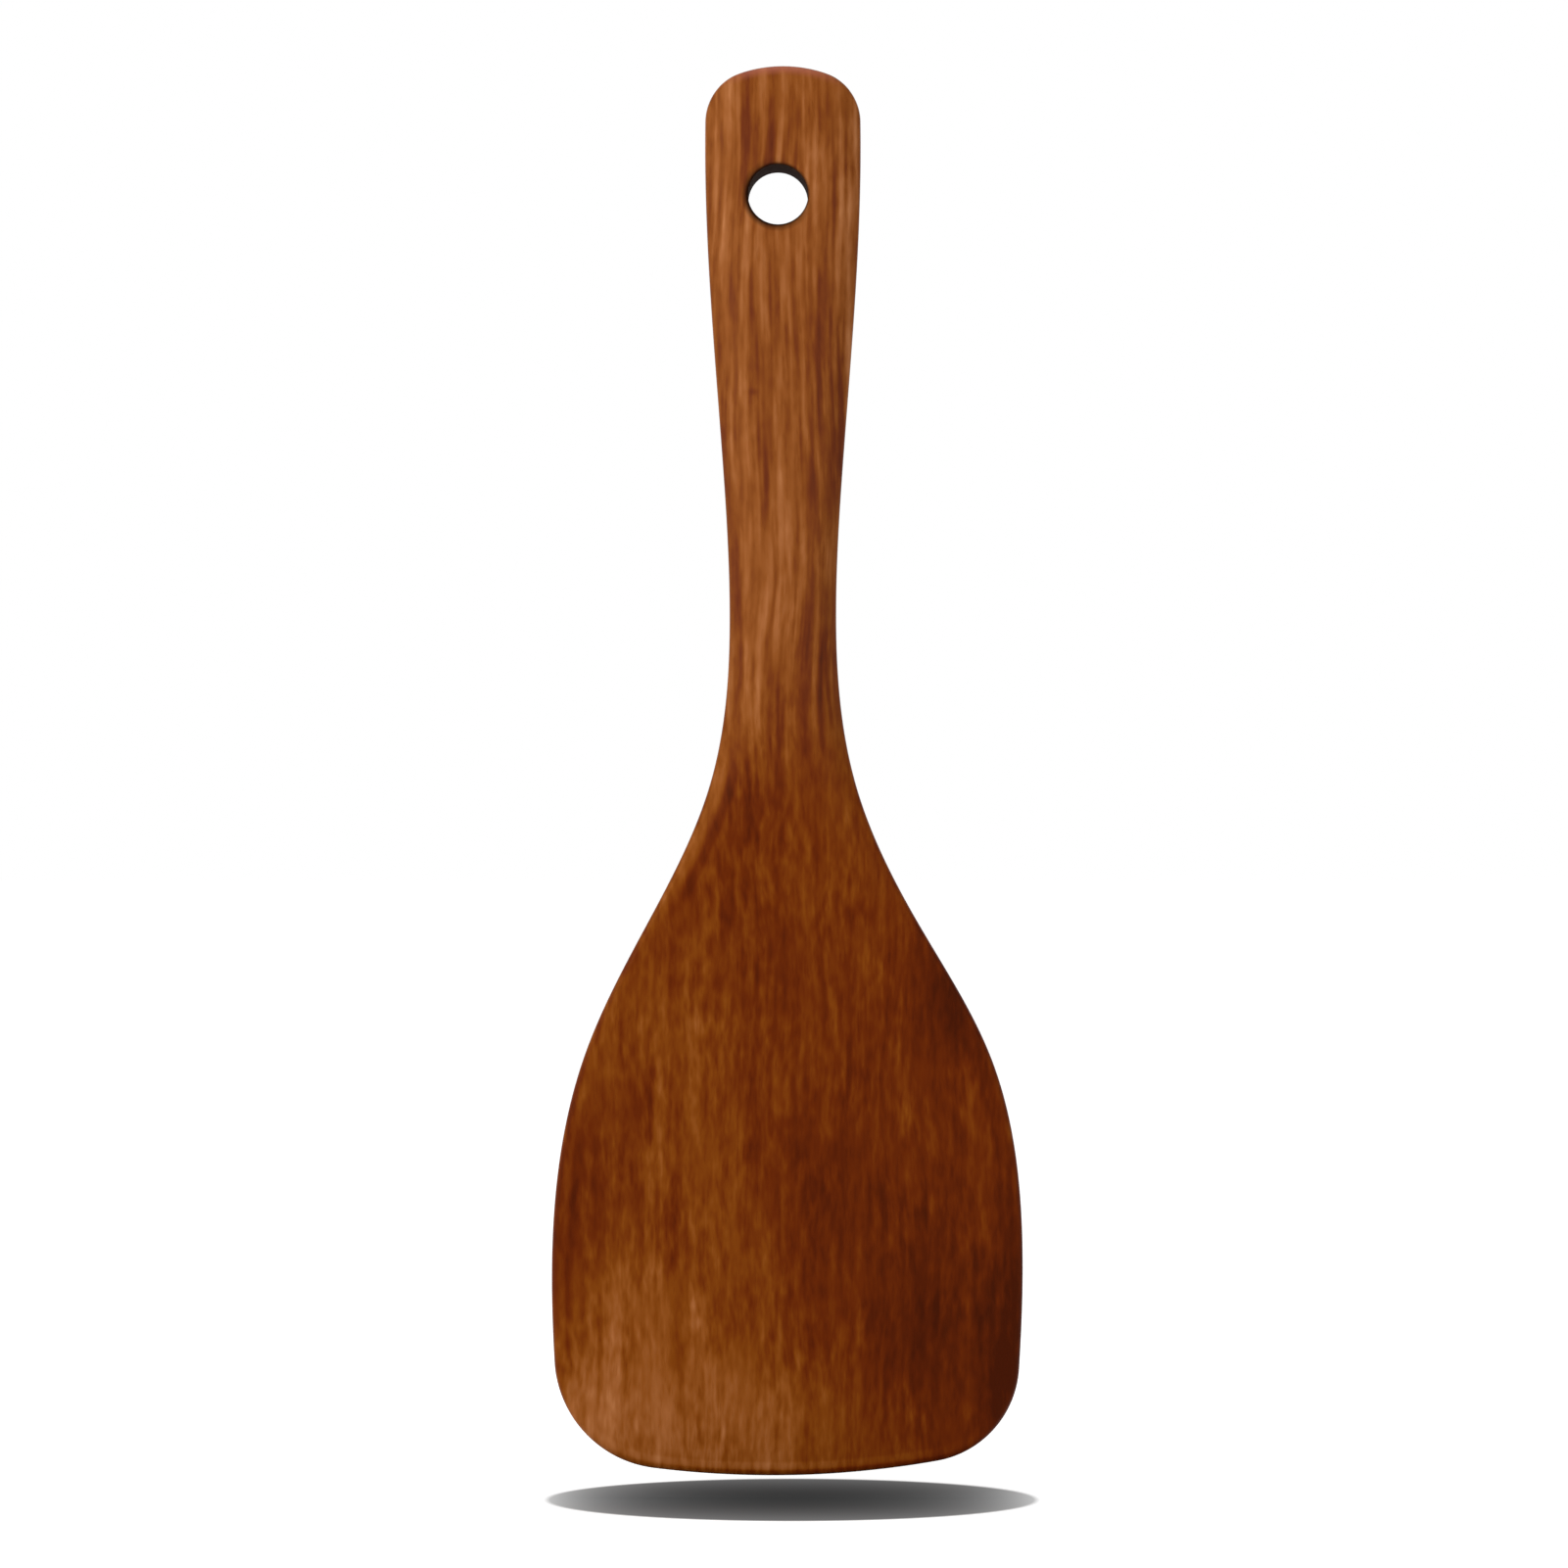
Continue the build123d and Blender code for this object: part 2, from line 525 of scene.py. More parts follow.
    def bore(self, front: list[int], back: list[int]) -> None:
        """Joins the two mouths with the wall that the drill left.

        Args:
            front: The front mouth's ring on the hole's wall.
            back: The back mouth's.
        """
        around, through = self.drill_pattern
        rings = [front]
        for step in range(1, self.bore_steps):
            share = step / self.bore_steps
            ring = []
            for index, (a, b) in enumerate(zip(front, back)):
                x, y, z = (1 - share) * np.array(self.points[a]) + share * np.array(self.points[b])
                turn = 2 * math.pi * index / len(front)
                spot = Vector((math.cos(turn) * around, y * through, math.sin(turn) * around))
                swell = 1 + self.drill_marks * (1 + noise.noise(spot)) / 2 / self.hole_radius
                ring.append(len(self.points))
                self.points.append((x * swell, y, z * swell))
            self.mark(Mark.BORE, ring, [1.0] * len(ring))
            rings.append(ring)
        rings.append(back)
        for outer, following in zip(rings, rings[1:]):
            self.band(following, outer, Face.FRONT)

    def field_points(self, edge: np.ndarray) -> np.ndarray:
        """Lays out the points inside a face, in staggered rows.

        Args:
            edge: The innermost ring round the face.

        Returns:
            The points, as rows of X and Z.
        """
        low, high = edge.min(axis=0), edge.max(axis=0)
        row_gap = self.grid * math.sqrt(3) / 2
        rows = []
        for number, z in enumerate(np.arange(low[1], high[1], row_gap)):
            shift = self.grid / 2 * (number % 2)
            x = np.arange(low[0] + shift, high[0], self.grid)
            rows.append(np.column_stack([x, np.full_like(x, z)]))
        places = np.vstack(rows)
        places = places[inside(places, edge)]
        gap = self.grid * self.gap_share
        places = places[np.linalg.norm(places, axis=1) > self.hole_radius + self.mouth_ring + gap]
        return places[nearest(places, edge) > gap]

    def fill_faces(self, rims: dict[Face, list[int]], mouths: dict[Face, list[int]]) -> None:
        """Fills both carved faces between their rims and the hole's mouths.

        Args:
            rims: The innermost rim ring on each face.
            mouths: The widest mouth ring on each face.
        """
        flat = {ring: np.array([(self.points[n][0], self.points[n][2]) for n in numbers])
                for ring, numbers in (("rim", rims[Face.FRONT]), ("mouth", mouths[Face.FRONT]))}
        places = self.field_points(flat["rim"])
        sheet = np.vstack([flat["rim"], flat["mouth"], places])
        rim_count, mouth_count = len(flat["rim"]), len(flat["mouth"])
        borders = [(n, (n + 1) % rim_count) for n in range(rim_count)]
        borders += [(rim_count + n, rim_count + (n + 1) % mouth_count) for n in range(mouth_count)]
        corners = [Vector(place) for place in sheet]
        cells = geometry.delaunay_2d_cdt(corners, borders, [], 0, MERGE_DISTANCE, True)
        order = [origin[0] for origin in cells[3]]
        triangles = np.array([[order[corner] for corner in cell] for cell in cells[2]])
        middles = sheet[triangles].mean(axis=1)
        kept = inside(middles, flat["rim"]) & ~inside(middles, flat["mouth"])
        depths = self.inner_rings[-1] + nearest(sheet[rim_count:], flat["rim"])
        for face in Face:
            numbers = rims[face] + mouths[face] + self.add(
                places[:, 0], self.stand_out(places[:, 0], places[:, 1], face), places[:, 1], face
            )
            self.mark(Mark.DEPTH, numbers[rim_count:], depths)
            for triangle in triangles[kept]:
                cell = tuple(numbers[corner] for corner in triangle)
                self.faces.append(cell if face is Face.FRONT else cell[::-1])

    def build(self) -> bpy.types.Object:
        """Makes the paddle's mesh.

        Returns:
            The object, with the value of each mark on its points.
        """
        loop, normals = self.outline.loop()
        rims = {face: self.rim(loop, normals, face) for face in Face}
        mouths = {face: self.mouth(face) for face in Face}
        self.band(rims[Face.BACK][0], rims[Face.FRONT][0], Face.FRONT)
        self.bore(mouths[Face.FRONT][-1], mouths[Face.BACK][-1])
        self.fill_faces({face: rims[face][-1] for face in Face},
                        {face: mouths[face][0] for face in Face})
        mesh = bpy.data.meshes.new(self.name)
        mesh.from_pydata([tuple(MM * value for value in point) for point in self.points], [],
                         self.faces)
        for kind, marks in self.marks.items():
            values = mesh.attributes.new(kind.value, "FLOAT", "POINT")
            for number, value in marks.items():
                values.data[number].value = value
        mesh.validate()
        mesh.shade_smooth()
        piece = bpy.data.objects.new(self.name, mesh)
        bpy.context.scene.collection.objects.link(piece)
        return piece

    def dress(self, paddle: bpy.types.Object) -> None:
        """Lacquers the paddle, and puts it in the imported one's place.

        Args:
            paddle: What build made.
        """
        paddle.data.materials.append(WoodFinish().material())
        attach(paddle, "root")
        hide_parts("paddle")


def inside(places: np.ndarray, loop: np.ndarray) -> np.ndarray:
    """Tells which places lie inside a closed loop.

    Args:
        places: Rows of X and Z.
        loop: The loop's points in order.

    Returns:
        True for each place inside.
    """
    after = np.roll(loop, -1, axis=0)
    x, z = places[:, 0][:, None], places[:, 1][:, None]
    spans = (loop[:, 1] > z) != (after[:, 1] > z)
    rise = np.where(after[:, 1] == loop[:, 1], NO_RISE, after[:, 1] - loop[:, 1])
    crossing = loop[:, 0] + (z - loop[:, 1]) * (after[:, 0] - loop[:, 0]) / rise
    return ((x < crossing) & spans).sum(axis=1) % 2 == 1


def nearest(places: np.ndarray, ring: np.ndarray) -> np.ndarray:
    """The distance from each place to the nearest point of a ring."""
    return np.linalg.norm(places[:, None, :] - ring[None, :, :], axis=2).min(axis=1)


class NodeBench:
    """Lays out a material's nodes, one call for each."""

    def __init__(self, tree: bpy.types.NodeTree) -> None:
        """Clears the tree to work on."""
        self.tree = tree
        tree.nodes.clear()

    def node(self, kind: str, **settings: object) -> bpy.types.Node:
        """Adds one node.

        Args:
            kind: The node's type.
            **settings: Its properties.

        Returns:
            The node.
        """
        made = self.tree.nodes.new(kind)
        for name, value in settings.items():
            setattr(made, name, value)
        return made

    def plug(self, source: Plug, target: Socket) -> None:
        """Links a socket to another, or sets a plain value on it.

        Args:
            source: The socket or value.
            target: The socket that takes it.
        """
        if isinstance(source, Socket):
            self.tree.links.new(source, target)
        elif isinstance(source, tuple) and target.type == "RGBA":
            target.default_value = (*source, 1.0)
        else:
            target.default_value = source

    def maths(self, operation: str, *values: Plug, clamp: bool = False) -> Socket:
        """Works out one sum.

        Args:
            operation: Its kind.
            *values: What goes into it.
            clamp: Whether the answer is kept between 0 and 1.

        Returns:
            The answer.
        """
        made = self.node("ShaderNodeMath", operation=operation, use_clamp=clamp)
        for value, target in zip(values, made.inputs):
            self.plug(value, target)
        return made.outputs[0]

    def blend(self, share: Plug, first: Plug, second: Plug) -> Socket:
        """Mixes two colours.

        Args:
            share: How much of the second one shows.
            first: The first colour.
            second: The second colour.

        Returns:
            The mixed colour.
        """
        made = self.node("ShaderNodeMix", data_type="RGBA", clamp_factor=True)
        colours = [slot for slot in made.inputs if slot.type == "RGBA"]
        self.plug(share, made.inputs[0])
        self.plug(first, colours[0])
        self.plug(second, colours[1])
        return next(slot for slot in made.outputs if slot.type == "RGBA")

    def swing(self, pattern: Socket) -> Socket:
        """How far a pattern from 0 to 1 lies above or below its middle."""
        return self.maths("SUBTRACT", pattern, 0.5)

    def spread(self, value: Socket, low: float, high: float) -> Socket:
        """Spreads a range smoothly over 0 to 1, and cuts off what lies outside.

        Args:
            value: What is spread.
            low: The value that turns into 0.
            high: The value that turns into 1.

        Returns:
            The spread value.
        """
        made = self.node("ShaderNodeMapRange", clamp=True, interpolation_type="SMOOTHSTEP")
        self.plug(value, made.inputs["Value"])
        self.plug(low, made.inputs["From Min"])
        self.plug(high, made.inputs["From Max"])
        return made.outputs[0]

    def ramp(self, value: Socket, stops: Sequence[tuple[float, Colour]]) -> Socket:
        """Turns a value into a colour.

        Args:
            value: The value, from 0 to 1.
            stops: The colours, each with its place on that range.

        Returns:
            The colour.
        """
        made = self.node("ShaderNodeValToRGB")
        bar = made.color_ramp
        while len(bar.elements) < len(stops):
            bar.elements.new(0.5)
        for element, (place, colour) in zip(bar.elements, stops):
            element.position = place
            element.color = (*colour, 1.0)
        self.plug(value, made.inputs[0])
        return made.outputs[0]

    def parts(self, vector: Socket) -> tuple[Socket, Socket, Socket]:
        """Takes a vector apart.

        Args:
            vector: The vector.

        Returns:
            Its three parts.
        """
        made = self.node("ShaderNodeSeparateXYZ")
        self.plug(vector, made.inputs[0])
        return made.outputs[0], made.outputs[1], made.outputs[2]

    def joined(self, x: Plug, y: Plug, z: Plug) -> Socket:
        """Puts a vector together.

        Args:
            x: Its first part.
            y: Its second part.
            z: Its third part.

        Returns:
            The vector.
        """
        made = self.node("ShaderNodeCombineXYZ")
        for value, target in zip((x, y, z), made.inputs):
            self.plug(value, target)
        return made.outputs[0]


@dataclass(frozen=True)
class GrainLayer:
    """One cloudy pattern in the wood.

    Size is how large its marks are across, through and along the board, in millimetres.
    """

    size: tuple[float, float, float]
    detail: float = 2.0
    roughness: float = 0.5

    def pattern(self, bench: NodeBench, place: Socket) -> Socket:
        """Draws the pattern.

        Args:
            bench: Where the nodes go.
            place: The place in the board.

        Returns:
            The pattern, from 0 to 1.
        """
        scaled = bench.node("ShaderNodeVectorMath", operation="DIVIDE")
        bench.plug(place, scaled.inputs[0])
        bench.plug(self.size, scaled.inputs[1])
        made = bench.node("ShaderNodeTexNoise", noise_dimensions="3D")
        bench.plug(scaled.outputs[0], made.inputs["Vector"])
        bench.plug(1.0, made.inputs["Scale"])
        bench.plug(self.detail, made.inputs["Detail"])
        bench.plug(self.roughness, made.inputs["Roughness"])
        return made.outputs[0]


@dataclass(frozen=True)
class ToneZone:
    """A soft-edged stretch of the board painted lighter or darker.

    The middle and the reaches are in millimetres. Lean turns the zone anticlockwise, in degrees,
    and a firmer zone stays full for longer and ends more sharply.
    """

    name: str
    x: float
    z: float
    across: float
    along: float
    tone: float
    lean: float = 0.0
    firm: float = 1.0

    def share(self, bench: NodeBench, x: Socket, z: Socket) -> Socket:
        """Works out how much of the zone shows, from 1 in its middle to 0 past its reach.

        Args:
            bench: Where the nodes go.
            x: Place across the paddle.
            z: Place along it.

        Returns:
            The share.
        """
        turn = math.radians(self.lean)
        right = bench.maths("SUBTRACT", x, self.x)
        up = bench.maths("SUBTRACT", z, self.z)
        across = bench.maths("MULTIPLY_ADD", right, math.cos(turn) / self.across,
                             bench.maths("MULTIPLY", up, math.sin(turn) / self.across))
        along = bench.maths("MULTIPLY_ADD", up, math.cos(turn) / self.along,
                            bench.maths("MULTIPLY", right, -math.sin(turn) / self.along))
        square = bench.maths("MULTIPLY_ADD", across, across, bench.maths("MULTIPLY", along, along))
        if self.firm != 1.0:
            square = bench.maths("POWER", square, self.firm)
        shown = bench.maths("EXPONENT", bench.maths("MULTIPLY", square, -1.0))
        shown.node.label = self.name
        return shown


@dataclass(frozen=True)
class EdgeBand:
    """A painted highlight or shade band that follows the outline at some depth inside it, in one
    zone.
    """

    near: float
    far: float
    soft: float
    zone: ToneZone

    def share(self, bench: NodeBench, depth: Socket, x: Socket, z: Socket) -> Socket:
        """Works out how much of the band shows.

        Args:
            bench: Where the nodes go.
            depth: Distance from the outline.
            x: Place across the paddle.
            z: Place along it.

        Returns:
            The share.
        """
        begun = bench.spread(depth, self.near - self.soft, self.near + self.soft)
        ended = bench.spread(depth, self.far - self.soft, self.far + self.soft)
        band = bench.maths("SUBTRACT", begun, ended)
        return bench.maths("MULTIPLY", band, self.zone.share(bench, x, z))


@dataclass(frozen=True)
class WoodFinish:
    """Reddish-brown wood under a thin satin lacquer, with its grain along the handle.

    A layer's strength is its share of the tone on the blade, and what the handle adds to that.
    Relief is how high the dashes stand, in millimetres.
    """

    name: str = "lacquered_wood"
    tones: tuple[tuple[float, Colour], ...] = (
        (0.0, (0.045, 0.0035, 0.0004)),
        (0.2, (0.084, 0.0088, 0.0006)),
        (0.34, (0.122, 0.0160, 0.0008)),
        (0.455, (0.162, 0.0297, 0.0016)),
        (0.555, (0.204, 0.0475, 0.0028)),
        (0.67, (0.260, 0.0715, 0.0100)),
        (0.83, (0.345, 0.1130, 0.0300)),
        (1.0, (0.450, 0.1720, 0.0600)),
    )
    base_tone: float = 0.394
    clouds: GrainLayer = GrainLayer((8.0, 9.0, 18.0), 3.0)
    cloud_strength: float = 0.25
    patches: GrainLayer = GrainLayer((7.0, 9.0, 11.0), 1.0)
    patchiness: float = 1.4
    streaks: GrainLayer = GrainLayer((1.6, 2.5, 30.0), 2.0, 0.55)
    streak_strength: tuple[float, float] = (0.42, 0.80)
    lines: GrainLayer = GrainLayer((0.95, 1.5, 12.0), 1.2)
    line_strength: tuple[float, float] = (0.10, 0.42)
    dashes: GrainLayer = GrainLayer((0.95, 1.3, 3.3), 1.6)
    dash_strength: tuple[float, float] = (0.50, -0.14)
    pores: GrainLayer = GrainLayer((0.28, 0.4, 2.6), 1.0)
    pore_range: tuple[float, float] = (0.60, 0.72)
    pore_tone: float = -0.04
    pore_relief: float = -0.4
    sway: GrainLayer = GrainLayer((22.0, 40.0, 46.0), 2.0, 0.4)
    sway_reach: float = 5.0
    worn: Colour = (0.50, 0.30, 0.20)
    wear: float = 0.035
    # A painted highlight on the rounded rim of the handle's end.
    rim_highlight_colour: Colour = (0.40, 0.120, 0.080)
    rim_highlight_strength: float = 0.6
    rim_highlight_zone: ToneZone = ToneZone("end_rim_highlight", 0.7, 19.0, 9.0, 4.0, 1.0, firm=2.0)
    rim_highlight_begins: tuple[float, float] = (0.0, 0.12)
    rim_highlight_ends: tuple[float, float] = (0.3, 1.6)
    # The hole's wall and its inner mouths are painted nearly black, as painted shade.
    bore: Colour = (0.008, 0.0020, 0.0016)
    hole_shade_strength: float = 0.95
    roughness: tuple[float, float] = (0.36, 0.56)
    shine: float = 0.16
    amber: Colour = (1.0, 0.48, 0.18)
    relief: float = 0.025
    handle: ToneZone = ToneZone("handle", 0.7, -28.0, 60.0, 52.0, 0.235, firm=3.0)
    zones: tuple[ToneZone, ...] = (
        ToneZone("end_light", 0.7, 16.5, 9.0, 3.5, 0.12),
        ToneZone("end_left", -8.0, 9.0, 2.5, 8.0, 0.08),
        ToneZone("end_right", 10.3, 11.0, 1.8, 7.0, 0.12),
        ToneZone("end_pale", -3.5, 13.0, 3.5, 3.5, 0.06),
        ToneZone("end_dark", 5.2, 12.0, 2.6, 4.5, -0.10),
        ToneZone("above_hole", 0.0, 5.0, 5.0, 5.0, -0.10),
        ToneZone("handle_right", 7.5, -32.0, 3.0, 34.0, -0.06),
        ToneZone("dark_streak", 6.3, -19.0, 0.9, 15.0, -0.24, lean=-1.5, firm=1.5),
        ToneZone("dark_streak_below", 7.2, -42.0, 0.9, 14.0, -0.14, lean=-3.0),
        ToneZone("light_streak_right", 8.4, -14.0, 0.5, 9.0, 0.12),
        ToneZone("light_heart", 0.0, -32.0, 0.6, 24.0, 0.08, lean=2.0),
        ToneZone("heart_above", 0.4, -14.0, 2.2, 10.0, 0.07),
        ToneZone("left_above", -5.4, -14.0, 1.6, 9.0, -0.05),
        ToneZone("shank_left", -6.4, -37.0, 2.2, 14.0, -0.07),
        ToneZone("shank_right", 5.8, -46.0, 3.2, 16.0, -0.14),
        ToneZone("heart_below", -0.4, -50.0, 1.2, 8.0, 0.07),
        ToneZone("handle_left", -5.5, -38.0, 2.5, 20.0, -0.06),
        ToneZone("mid_handle", 0.7, -38.0, 9.0, 11.0, -0.045),
        ToneZone("dark_line", -2.0, -22.0, 0.4, 14.0, -0.12),
        ToneZone("knot", -3.6, -28.6, 0.9, 0.5, -0.16),
        ToneZone("neck", -0.5, -60.0, 4.0, 8.0, 0.06),
        ToneZone("neck_left", -3.3, -68.0, 1.1, 10.0, -0.12),
        ToneZone("neck_heart", 0.6, -66.0, 2.0, 9.0, 0.07),
        ToneZone("neck_right", 5.2, -67.0, 0.9, 10.0, -0.10),
        ToneZone("throat_left", -6.0, -73.0, 4.0, 8.0, 0.12),
        ToneZone("throat_top", 1.0, -80.5, 7.0, 6.0, 0.05),
        ToneZone("throat_right", 9.0, -97.0, 5.0, 9.0, 0.12),
        # Darker throat: partly the wood's tone and partly painted shade where the face turns down
        # into the blade.
        ToneZone("throat_tone_and_shade", -4.0, -109.0, 4.5, 10.0, -0.08),
        ToneZone("left_shoulder", -17.0, -121.0, 12.0, 12.0, 0.14),
        ToneZone("left_cheek", -11.0, -143.0, 7.0, 15.0, 0.15),
        ToneZone("left_belly", -22.0, -160.0, 9.0, 8.0, 0.20),
        ToneZone("left_edge", -31.0, -157.0, 4.0, 8.0, -0.09),
        ToneZone("lower_left", -26.5, -176.5, 13.5, 11.5, 0.36),
        ToneZone("lower_middle", -4.0, -179.5, 15.0, 13.0, 0.28),
        ToneZone("middle", 8.0, -144.0, 8.0, 12.0, -0.12),
        ToneZone("right_upper", 15.0, -128.0, 8.0, 14.0, -0.05),
        ToneZone("right_blade", 19.0, -165.0, 9.0, 14.0, -0.22),
        ToneZone("right_cheek", 24.0, -143.0, 8.0, 11.0, -0.08),
        # Painted shade on the blade's right edge and shoulder, which turn away from the key lamp.
        ToneZone("right_edge_shade", 34.0, -162.0, 6.0, 15.0, -0.32),
        ToneZone("right_corner_shade", 32.5, -173.0, 3.0, 5.0, -0.15),
        ToneZone("right_shoulder_shade", 26.0, -116.0, 6.0, 10.0, -0.25),
        ToneZone("yellow_streak", 8.3, -120.0, 0.5, 10.0, 0.14, lean=8.8),
        ToneZone("pale_nick", -12.4, -161.0, 0.5, 1.1, 0.25),
        ToneZone("pale_nick_below", -11.6, -163.6, 0.4, 0.9, 0.20),
    )
    painted_light_bands: tuple[EdgeBand, ...] = (
        # Painted highlights on the left throat's rounded edge, lit from the left, and a painted
        # shade line inside them.
        EdgeBand(0.0, 1.8, 0.6, ToneZone("throat_edge_highlight", -13.0, -92.0, 13.0, 16.0, 0.16, firm=2.0)),
        EdgeBand(0.0, 0.7, 0.3, ToneZone("throat_rim_highlight", -14.0, -95.0, 10.0, 13.0, 0.10)),
        EdgeBand(2.3, 3.6, 0.4, ToneZone("throat_shade_line", -10.0, -92.0, 9.0, 11.0, -0.18, firm=2.0)),
        # A painted highlight along the left rim's roundover, with painted shade lines on either
        # side of it.
        EdgeBand(0.25, 0.75, 0.2, ToneZone("left_shade_line", -32.0, -132.0, 12.0, 28.0, -0.12)),
        EdgeBand(1.0, 1.9, 0.3, ToneZone("left_crest_highlight", -33.0, -140.0, 10.0, 30.0, 0.08)),
        EdgeBand(2.2, 3.6, 0.5, ToneZone("left_inner_shade", -32.0, -148.0, 9.0, 20.0, -0.08)),
        # Painted shade along the blade's right rim, which turns away from the key lamp.
        EdgeBand(0.9, 3.0, 0.5, ToneZone("right_inner_shade", 34.0, -135.0, 10.0, 30.0, -0.14)),
        EdgeBand(0.5, 3.6, 0.5, ToneZone("right_rim_shade", 35.0, -175.0, 8.0, 13.0, -0.12)),
        # A painted highlight and a painted shade line along the tip's roundover.
        EdgeBand(1.1, 2.0, 0.3, ToneZone("tip_crest_highlight", 0.0, -184.0, 32.0, 5.0, 0.10)),
        EdgeBand(0.4, 0.9, 0.2, ToneZone("tip_shade_line", 0.0, -187.0, 34.0, 5.0, -0.16)),
    )

    def material(self) -> bpy.types.Material:
        """Makes the finish.

        Returns:
            The material.
        """
        made = bpy.data.materials.new(self.name)
        made.use_nodes = True
        bench = NodeBench(made.node_tree)
        scaled = bench.node("ShaderNodeVectorMath", operation="SCALE")
        bench.plug(bench.node("ShaderNodeTexCoord").outputs["Object"], scaled.inputs[0])
        bench.plug(MM_PER_METRE, scaled.inputs["Scale"])
        x, y, z = bench.parts(scaled.outputs[0])
        sway = bench.swing(self.sway.pattern(bench, scaled.outputs[0]))
        place = bench.joined(bench.maths("MULTIPLY_ADD", sway, self.sway_reach, x), y, z)
        dashes = self.dashes.pattern(bench, place)
        pore = bench.spread(self.pores.pattern(bench, place), *self.pore_range)
        handle = self.handle.share(bench, x, z)
        hole = self.read(bench, Mark.BORE)
        colour = bench.ramp(self.tone(bench, place, x, z, handle, dashes, pore), self.tones)
        # Over the wood go the handle's wear, the painted highlight on the end's rim and the
        # painted shade in the hole.
        for share, over in ((bench.maths("MULTIPLY", handle, self.wear), self.worn),
                            (self.rim_highlight_share(bench, x, z), self.rim_highlight_colour),
                            (bench.maths("MULTIPLY", hole, self.hole_shade_strength), self.bore)):
            colour = bench.blend(share, colour, over)
        self.shader(bench, colour, dashes, pore, hole)
        return made

    def read(self, bench: NodeBench, mark: Mark) -> Socket:
        """Reads one of the mesh's marks."""
        return bench.node("ShaderNodeAttribute", attribute_name=mark.value).outputs["Fac"]

    def rim_highlight_share(self, bench: NodeBench, x: Socket, z: Socket) -> Socket:
        """Works out the painted highlight on the rim at the handle's end, pinker than the wood.

        Args:
            bench: Where the nodes go.
            x: Place across the paddle.
            z: Place along it.

        Returns:
            The share of the painted highlight's colour.
        """
        depth = self.read(bench, Mark.DEPTH)
        rim = bench.maths("SUBTRACT", bench.spread(depth, *self.rim_highlight_begins),
                          bench.spread(depth, *self.rim_highlight_ends))
        highlighted = bench.maths("MULTIPLY", self.rim_highlight_zone.share(bench, x, z), rim)
        return bench.maths("MULTIPLY", highlighted, self.rim_highlight_strength)

    def tone(self, bench: NodeBench, place: Socket, x: Socket, z: Socket, handle: Socket,
             dashes: Socket, pore: Socket) -> Socket:
        """Adds up how light the wood is painted at each place, painted highlights and shade
        included.

        Args:
            bench: Where the nodes go.
            place: The place, with the grain's gentle wandering from side to side.
            x: Place across the paddle.
            z: Place along it.
            handle: How much of the handle's own look shows.
            dashes: The fine streaks.
            pore: How far each place lies in an open pore.

        Returns:
            The tone, from 0 for the darkest wood to 1 for the lightest.
        """
        tone = bench.maths("MULTIPLY_ADD", handle, self.handle.tone, self.base_tone)
        clouds = bench.swing(self.clouds.pattern(bench, place))
        tone = bench.maths("MULTIPLY_ADD", clouds, self.cloud_strength, tone)
        patches = self.patches.pattern(bench, place)
        patchy = bench.maths("MULTIPLY_ADD", patches, self.patchiness, 1 - self.patchiness / 2)
        layers = ((self.streaks.pattern(bench, place), self.streak_strength),
                  (self.lines.pattern(bench, place), self.line_strength),
                  (dashes, self.dash_strength))
        for pattern, (plain, more) in layers:
            strength = bench.maths("MULTIPLY_ADD", handle, more, plain)
            strength = bench.maths("MULTIPLY", strength, patchy)
            tone = bench.maths("MULTIPLY_ADD", bench.swing(pattern), strength, tone)
        tone = bench.maths("MULTIPLY_ADD", pore, self.pore_tone, tone)
        for zone in self.zones:
            tone = bench.maths("MULTIPLY_ADD", zone.share(bench, x, z), zone.tone, tone)
        depth = self.read(bench, Mark.DEPTH)
        # The edge bands add painted highlights and painted shade along the rims.
        for band in self.painted_light_bands:
            share = band.share(bench, depth, x, z)
            tone = bench.maths("MULTIPLY_ADD", share, band.zone.tone, tone)
        return tone

    def shader(self, bench: NodeBench, colour: Socket, dashes: Socket, pore: Socket,
               hole: Socket) -> None:
        """Sets up the lacquered surface and its relief.

        Args:
            bench: Where the nodes go.
            colour: The wood's colour.
            dashes: The fine streaks.
            pore: How far each place lies in an open pore.
            hole: How far it lies in the bare, dull hole.
        """
        surface = bench.node("ShaderNodeBsdfPrincipled")
        bench.plug(colour, surface.inputs["Base Color"])
        low, high = self.roughness
        rough = bench.maths("MAXIMUM", bench.maths("MULTIPLY_ADD", dashes, high - low, low), hole)
        bench.plug(rough, surface.inputs["Roughness"])
        bench.plug(self.shine, surface.inputs["Specular IOR Level"])
        bench.plug(self.amber, surface.inputs["Specular Tint"])
        height = bench.maths("MULTIPLY_ADD", pore, self.pore_relief, dashes)
        bump = bench.node("ShaderNodeBump")
        bench.plug(height, bump.inputs["Height"])
        bench.plug(self.relief * MM, bump.inputs["Distance"])
        bench.plug(bump.outputs[0], surface.inputs["Normal"])
        output = bench.node("ShaderNodeOutputMaterial")
        bench.plug(surface.outputs[0], output.inputs["Surface"])


def seen_directly(bench: NodeBench) -> Socket:
    """Tells the rays that show a background: the camera's, and those of mirrors and glass.

    Args:
        bench: Where the nodes go.

    Returns:
        1 for such a ray, and 0 for any other.
    """
    rays = bench.node("ShaderNodeLightPath")
    shown = bench.maths("MAXIMUM", rays.outputs["Is Camera Ray"], rays.outputs["Is Glossy Ray"])
    return bench.maths("MAXIMUM", shown, rays.outputs["Is Transmission Ray"])


